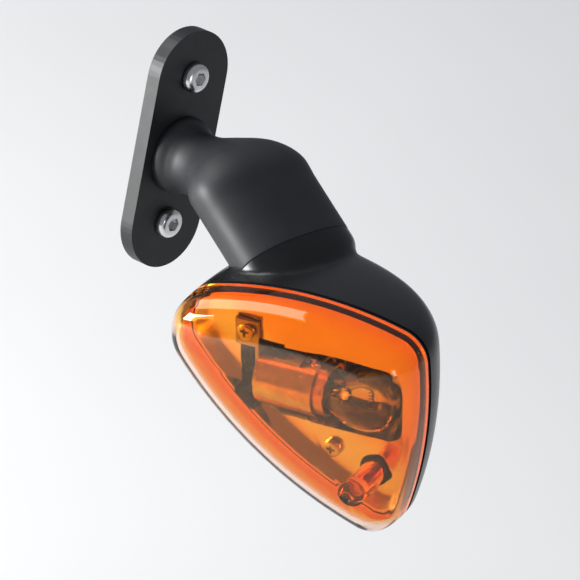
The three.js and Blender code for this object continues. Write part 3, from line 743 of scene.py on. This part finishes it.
# %% Geometry Nodes set the screws along the plate
def copies_along_line(name, master, start, step, count, turn, look):
    """A tree that sets copies of one screw along a line and turns them all the same way."""
    tree = bpy.data.node_groups.new(name, "GeometryNodeTree")
    tree.interface.new_socket("Geometry", in_out="OUTPUT", socket_type="NodeSocketGeometry")
    start_in = tree.interface.new_socket("Start", in_out="INPUT", socket_type="NodeSocketVector")
    step_in = tree.interface.new_socket("Step", in_out="INPUT", socket_type="NodeSocketVector")
    count_in = tree.interface.new_socket("Count", in_out="INPUT", socket_type="NodeSocketInt")
    inputs = tree.nodes.new("NodeGroupInput")
    output = tree.nodes.new("NodeGroupOutput")
    row = tree.nodes.new("GeometryNodeMeshLine")
    tree.links.new(inputs.outputs["Count"], row.inputs["Count"])
    tree.links.new(inputs.outputs["Start"], row.inputs["Start Location"])
    tree.links.new(inputs.outputs["Step"], row.inputs["Offset"])
    source = tree.nodes.new("GeometryNodeObjectInfo")
    source.inputs["Object"].default_value = master
    copies = tree.nodes.new("GeometryNodeInstanceOnPoints")
    copies.inputs["Rotation"].default_value = turn.to_euler()
    tree.links.new(row.outputs["Mesh"], copies.inputs["Points"])
    tree.links.new(source.outputs["Geometry"], copies.inputs["Instance"])
    solid = tree.nodes.new("GeometryNodeRealizeInstances")
    coat = tree.nodes.new("GeometryNodeSetMaterial")
    coat.inputs["Material"].default_value = look
    tree.links.new(copies.outputs["Instances"], solid.inputs["Geometry"])
    tree.links.new(solid.outputs["Geometry"], coat.inputs["Geometry"])
    tree.links.new(coat.outputs["Geometry"], output.inputs["Geometry"])
    made = mesh_object(name, [(0, 0, 0)], [])
    step_mod = made.modifiers.new("copies", "NODES")
    step_mod.node_group = tree
    step_mod[start_in.identifier] = start
    step_mod[step_in.identifier] = step
    step_mod[count_in.identifier] = count
    return bake(made)


spacing = SCREW_SPACING * MM
seat = Vector((5.3 * MM, 0, 0))
mount_screws = copies_along_line(
    "mount_screws", button_screw, tuple(seat - plate_long * spacing / 2),
    tuple(plate_long * spacing), 2, PLATE.to_3x3().normalized(), zinc_look)
bpy.data.objects.remove(button_screw)
finish_piece(mount_screws, zinc_look, "mount", "zinc", "mount_screw_upper", "mount_screw_lower")

# %% [markdown]
# ## Screws in the head
# Five small pan-head screws are made the same way and set one by one: two clamp the housing to
# the plate inside the stem, one holds the lens, one the reflector and one the socket's bracket.

# %% Pan-head screws
def set_screw(name, sizes, where, node):
    made = turned_screw(name, *sizes, "cross")
    made.data.transform(where @ Matrix.Scale(1 / MM, 4))
    return finish_piece(made, zinc_look, "head", "zinc", node)


pan = (3.5, 2.4, 2.05, 9.5)
small_pan = (2.8, 1.9, 1.4, 9.5)
set_screw("pan_screw_front", pan, STEM @ Matrix.Translation((CLAMP_SCREW_X, 0, COLLAR_Z + 3.3)),
          "housing_screw_front")
set_screw("pan_screw_rear", pan, STEM @ Matrix.Translation((-CLAMP_SCREW_X, 0, COLLAR_Z + 3.3)),
          "housing_screw_rear")
set_screw("lens_fixing_screw", (3.3, 2.3, 1.6, 21),
          HEAD @ Matrix.Translation((*LENS_SCREW, LENS_SCREW_SEAT_Z - 0.3))
          @ Matrix.Rotation(math.pi, 4, "X"), "lens_screw")
set_screw("reflector_fixing_screw", small_pan, HEAD @ Matrix.Translation((*REFLECTOR_SCREW, -2.9)),
          "reflector_screw")
set_screw("bracket_fixing_screw", small_pan, HEAD @ Matrix.Translation((*SOCKET_SCREW, -1.5)),
          "socket_screw")

# %% [markdown]
# ## Reflector
# Behind the lens a metallised tray throws the light rearward: a flat apron with a standing rim,
# round a deep pocket that the bulb lies in. Its pocket walls are flat facets, and only their
# edges are softened.

# %% Reflector tray
def rounded_box(x0, x1, y0, y1, r, z, count=6):
    points = []
    for quarter, (x, y) in enumerate(((x1 - r, y1 - r), (x0 + r, y1 - r), (x0 + r, y0 + r),
                                      (x1 - r, y0 + r))):
        for i in range(count + 1):
            a = (quarter + i / count) * math.pi / 2
            points.append((x + r * math.cos(a), y + r * math.sin(a), z))
    return points


def pocket(name, grow, floor_z, top_z):
    return skin(name, [
        rounded_box(-14 - grow, 26.5 + grow, -4.5 - grow, 8.5 + grow, 4, floor_z),
        rounded_box(-15.5 - grow, 31 + grow, -9.3 - grow, 13.3 + grow, 5, top_z),
    ], HEAD, smooth=False)


reflector = prism("reflector_tray", outline(WALL + 0.8), -4.4, -3.2, HEAD)
rim_rows = ((3.6, -4.4), (3.6, 1.0), (4.5, 1.0), (4.5, -4.4))
rim_wall = skin("rim_wall", [outline_ring(inset, 1, z) for inset, z in rim_rows], HEAD, loop=True)
carve(reflector, rim_wall, how="UNION")
carve(reflector, pocket("pocket_outside", 1.2, -16.8, -3.6), how="UNION")
room = bowl("room", WALL + 0.5, DEPTH - WALL - 0.6, CAVITY_ANCHOR, 6)
carve(reflector, room, how="INTERSECT")
carve(reflector, pocket("pocket_inside", 0, -15.6, -2.6))
window = prism("window", [(-22.5, -7.2), (-8, -7.2), (-8, 13.6), (-22.5, 13.6)], -20, 2, HEAD)
carve(reflector, window)
for at, r in ((REFLECTOR_SCREW, 1.9), (SOCKET_SCREW, 1.9), (LENS_SCREW, 5.2)):
    carve(reflector, prism("hole", round_points(*at, r), -20, 2, HEAD))
soften(reflector, 0.35, 2, 30)
finish_piece(reflector, mirror_look, "head", "reflector", "reflector")

# %% [markdown]
# ## Socket and spring contact
# The bulb sits in a steel shell with two slots for its pins. A spring pushes a brown insulating
# disc with a brass rivet against the bulb's tip. The spring is a helix, which Geometry Nodes
# draws from its radius, height and turns.

# %% Socket shell, bracket and terminal
shell = spin("socket_shell_body", [
    (3, -18), (8.3, -18), (8.6, -17.7), (8.6, 1.3), (8.4, 1.5), (8.1, 1.5), (7.9, 1.3),
    (7.9, -17.2), (3, -17.2)], LAMP, 64, loop=True)
for side in (0, math.pi):
    for a, top in ((0, -0.2), (10, -0.2), (20, 2.5)):
        turn = Matrix.Rotation(side + math.radians(a), 4, "Y")
        slot_tool = prism("slot", [(6, -4.3), (10, -4.3), (10, top), (6, top)], -1.3, 1.3,
                          LAMP @ turn)
        carve(shell, slot_tool)
shade_by_angle(shell, 35)
finish_piece(shell, zinc_look, "head", "zinc", "socket_shell")

bracket = prism("bracket_upright", [(-16.9, -4), (-15.8, -4), (-15.8, 13), (-16.9, 13)],
                -11.5, -1.8, HEAD)
foot = prism("foot", [(-23.5, 12), (-15.8, 12), (-15.8, 20.5), (-23.5, 20.5)], -2.9, -1.8, HEAD)
carve(bracket, foot, how="UNION")
wire_hole = spin("wire_hole", [(0, -21), (3, -21), (3, -16), (0, -16)], LAMP, 32)
carve(bracket, wire_hole, prism("hole", round_points(*SOCKET_SCREW, 1.9), -5, 5, HEAD))
soften(bracket, 0.25, 2, 40)
finish_piece(bracket, steel_look, "head", "steel", "socket_bracket")

terminal = spin("live_terminal_pin", [(0, -21), (1.0, -21), (1.2, -20.8), (1.2, -15.6),
                                      (5.4, -15.6), (5.4, -15.1), (0, -15.1)], LAMP, 40)
shade_by_angle(terminal, 40)
finish_piece(terminal, brass_look, "head", "brass", "live_terminal")
spring_board = spin("spring_seat_disc", [(1.7, -16.9), (7.5, -16.9), (7.5, -15.9), (1.7, -15.9)],
                    LAMP, 48, loop=True)
shade_by_angle(spring_board, 40)
finish_piece(spring_board, board_look, "head", "phenolic", "spring_seat")

# %% Contact disc, rivet and spring
disc = spin("contact_disc_board", [(2.4, -10.6), (7.2, -10.6), (7.4, -10.4), (7.4, -9.3),
                                   (7.2, -9.1), (2.4, -9.1)], LAMP, 56, loop=True)
shade_by_angle(disc, 40)
finish_piece(disc, board_look, "plunger", "phenolic", "contact_disc")
rivet = spin("contact_rivet_head", [(0, -11.4), (2, -11.4), (2, -8.8), (3.3, -8.8), (3.4, -8.7),
                                    (3.1, -8.4), (2.4, -8.3), (0, -8.3)], LAMP, 40)
shade_by_angle(rivet, 40)
finish_piece(rivet, brass_look, "plunger", "brass", "contact_rivet")


def helix(name, radius, height, turns, wire, look, where):
    tree = bpy.data.node_groups.new(name, "GeometryNodeTree")
    tree.interface.new_socket("Geometry", in_out="OUTPUT", socket_type="NodeSocketGeometry")
    values = {"Radius": radius, "Height": height, "Turns": turns, "Wire": wire}
    sockets = {
        key: tree.interface.new_socket(key, in_out="INPUT", socket_type="NodeSocketFloat")
        for key in values
    }
    inputs = tree.nodes.new("NodeGroupInput")
    output = tree.nodes.new("NodeGroupOutput")
    coil = tree.nodes.new("GeometryNodeCurveSpiral")
    coil.inputs["Resolution"].default_value = 24
    section = tree.nodes.new("GeometryNodeCurvePrimitiveCircle")
    section.inputs["Resolution"].default_value = 10
    sweep = tree.nodes.new("GeometryNodeCurveToMesh")
    sweep.inputs["Fill Caps"].default_value = True
    solid = tree.nodes.new("GeometryNodeRealizeInstances")
    coat = tree.nodes.new("GeometryNodeSetMaterial")
    coat.inputs["Material"].default_value = look
    tree.links.new(inputs.outputs["Radius"], coil.inputs["Start Radius"])
    tree.links.new(inputs.outputs["Radius"], coil.inputs["End Radius"])
    tree.links.new(inputs.outputs["Height"], coil.inputs["Height"])
    tree.links.new(inputs.outputs["Turns"], coil.inputs["Rotations"])
    tree.links.new(inputs.outputs["Wire"], section.inputs["Radius"])
    tree.links.new(coil.outputs["Curve"], sweep.inputs["Curve"])
    tree.links.new(section.outputs["Curve"], sweep.inputs["Profile Curve"])
    tree.links.new(sweep.outputs["Mesh"], solid.inputs["Geometry"])
    tree.links.new(solid.outputs["Geometry"], coat.inputs["Geometry"])
    tree.links.new(coat.outputs["Geometry"], output.inputs["Geometry"])
    made = mesh_object(name, [(0, 0, 0)], [])
    step = made.modifiers.new("helix", "NODES")
    step.node_group = tree
    for key, value in values.items():
        step[sockets[key].identifier] = value
    bake(made)
    made.data.transform(where)
    close_seams(made.data, 1e-6)
    return made


spring_frame = (LAMP @ Matrix.Translation((0, -14.6, 0)) @ Matrix.Rotation(-math.pi / 2, 4, "X"))
spring = helix("contact_spring_wire", 4.6, 3.6, 3.0, 0.3, steel_look, spring_frame)
finish_piece(spring, steel_look, "head", "steel", "contact_spring")
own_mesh(spring)

# %% [markdown]
# ## Bulb
# A 10 W bayonet bulb: a brass cap with two pins, a clear pear of glass with a thin wall, and
# inside it a glass bead with two wires that carry a coiled filament.

# %% Bulb cap with its pins
cap = spin("bulb_cap_shell", [
    (5.2, -6.8), (6.8, -6.8), (7.3, -6.55), (7.5, -6.1), (7.5, 4.9), (7.4, 5), (7.0, 5),
    (6.9, 4.9), (6.9, -5.6), (5.2, -5.6)], LAMP, 64, loop=True)
for side in (0, math.pi):
    pin_frame = LAMP @ Matrix.Rotation(side, 4, "Y") @ Matrix.Translation((0, -1.5, 0))
    pin_profile = [(0, 7), (0.95, 7), (1.0, 8.9), (0.8, 9.1), (0, 9.1)]
    pin = spin("pin", pin_profile, pin_frame @ Matrix.Rotation(-math.pi / 2, 4, "Z"), 24)
    carve(cap, pin, how="UNION")
shade_by_angle(cap, 35)
finish_piece(cap, brass_look, "bulb", "brass", "bulb_cap")
tip_board = spin("bulb_cap_disc", [(2.2, -7.2), (4.9, -6.9), (4.9, -5.2), (2.2, -5.2)], LAMP, 48,
                 loop=True)
shade_by_angle(tip_board, 40)
finish_piece(tip_board, board_look, "bulb", "phenolic", "bulb_insulator")
tip = spin("bulb_tip_contact", [(0, -8), (0.7, -7.95), (1.3, -7.7), (1.8, -7.2), (1.9, -6.8),
                                (1.9, -5.4), (0, -5.4)], LAMP, 32)
shade_by_angle(tip, 50)
finish_piece(tip, zinc_look, "bulb", "zinc", "bulb_contact")

# %% Bulb glass, bead and filament
glass_outside = [(5.8, 2.5), (6.3, 6), (7.4, 8.6), (8.8, 12), (9.3, 16), (8.8, 20.3), (6.8, 23.8),
                 (3.5, 25.9)]
glass_inside = [(5.0, 2.5), (5.5, 6.2), (6.7, 9.2), (8, 12.3), (8.5, 16), (8, 19.9), (6.3, 23.1),
                (3.2, 25.1)]
glass_rings = [(0, 25.6), *reversed(smooth_through(glass_inside, 4)),
               *smooth_through(glass_outside, 4), (0, 26.5)]
glass = spin("bulb_glass_pear", glass_rings, LAMP, 72)
finish_piece(glass, glass_look, "bulb", "bulb_glass", "bulb_glass")
bead = spin("bulb_bead", [(0, -2), (3.6, -2), *smooth_through([(3.6, 3), (2.2, 6), (1.8, 10)], 4),
                          (0, 10)], LAMP, 40)
shade_by_angle(bead, 50)
finish_piece(bead, glass_look, "bulb", "bulb_glass", "bulb_mount")


def wire_mesh(name, points, radius, where, sides=8):
    """A thin closed tube through the points, with its frame carried along so it never twists."""
    path = [Vector(p) for p in points]
    side = Vector((0, 0, 1))
    rings = [[tuple(path[0])]]
    for i, p in enumerate(path):
        along_path = (path[min(i + 1, len(path) - 1)] - path[max(i - 1, 0)]).normalized()
        side = (side - along_path * side.dot(along_path)).normalized()
        other = along_path.cross(side)
        steps = [2 * math.pi * k / sides for k in range(sides)]
        rings.append([tuple(p + (side * math.cos(a) + other * math.sin(a)) * radius)
                      for a in steps])
    rings.append([tuple(path[-1])])
    return skin(name, rings, where)


turns = [(-3 + i * 0.0625, 17 + 0.5 * math.cos(math.pi * i / 8), 0.5 * math.sin(math.pi * i / 8))
         for i in range(97)]
left_wire = smooth_through([(-1.3, 10.2, 0), (-3, 13, 0), (-3.6, 16, 0), (-3, 17.5, 0)], 5)[:-1]
right_wire = smooth_through([(3, 17.5, 0), (3.6, 16, 0), (3, 13, 0), (1.3, 10.2, 0)], 5)[1:]
filament = wire_mesh("bulb_filament_coil", [*left_wire, *turns, *right_wire], 0.16, LAMP)
finish_piece(filament, tungsten_look, "bulb", "tungsten", "bulb_filament")

# %% [markdown]
# ## Leads and the stem's end plate
# The two leads run from the socket to the stem's bore inside the head. They and the steel end
# plate keep their mechanical shapes and only take their finishes.

# %% Leads and end plate
for node, look in (("lead_live", green_lead_look), ("lead_ground", black_lead_look),
                   ("stem_head_insert", steel_look)):
    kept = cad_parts[node]
    kept.data.materials.clear()
    kept.data.materials.append(look)
print("kept shapes: lead_live, lead_ground, stem_head_insert")

# %% [markdown]
# ## Floor and light
# A plain pale floor lies below, and its light fills the lens and helps draw the pale edge along
# the lens's long side, which the amber finish also paints in as a floor glow. A soft key light
# stands low at the rear left, so it shapes the stem's rear side and its root but leaves the top
# faces dark. A second light only brightens the floor.

# %% Floor, lights and sky
FLOOR_HALF, FLOOR_Z = 6, -0.16
floor = mesh_object("floor", [(x * FLOOR_HALF, y * FLOOR_HALF, FLOOR_Z)
                              for x, y in ((-1, -1), (1, -1), (1, 1), (-1, 1))], [(0, 1, 2, 3)])
floor_look, floor_tree, floor_shader, floor_place = new_look("floor_grey")
floor_tree.links.new(
    blend_colours(floor_tree, noise(floor_tree, floor_place, 3), (0.74, 0.74, 0.735),
                  (0.78, 0.78, 0.775)), floor_shader.inputs["Base Color"])
floor_shader.inputs["Roughness"].default_value = 0.8
floor_shader.inputs["Specular IOR Level"].default_value = 0.1
floor.data.materials.append(floor_look)


def soft_light(name, at, size, power, target=(0.06, 0, -0.03)):
    data = bpy.data.lights.new(name, "AREA")
    data.shape, data.size, data.energy = "SQUARE", size, power
    lamp = bpy.data.objects.new(name, data)
    bpy.context.collection.objects.link(lamp)
    lamp.location = at
    lamp.rotation_mode = "QUATERNION"
    lamp.rotation_quaternion = (Vector(target) - Vector(at)).to_track_quat("-Z", "Y")


soft_light("key_light", (-0.66, -0.95, 0.30), 0.5, 28)
soft_light("floor_light", (-0.9, -0.2, 1.3), 0.9, 11, target=(-0.1, 0.1, -0.16))
soft_light("side_light", (1.1, -0.5, 0.05), 0.4, 2.5)

sky = bpy.data.worlds.new("sky")
sky.use_nodes = True
sky.node_tree.nodes["Background"].inputs["Color"].default_value = (0.86, 0.9, 1.0, 1)
sky.node_tree.nodes["Background"].inputs["Strength"].default_value = 0.3
bpy.context.scene.world = sky
bpy.context.scene.view_settings.view_transform = "Standard"
print("floor, three soft lights and a dim sky")
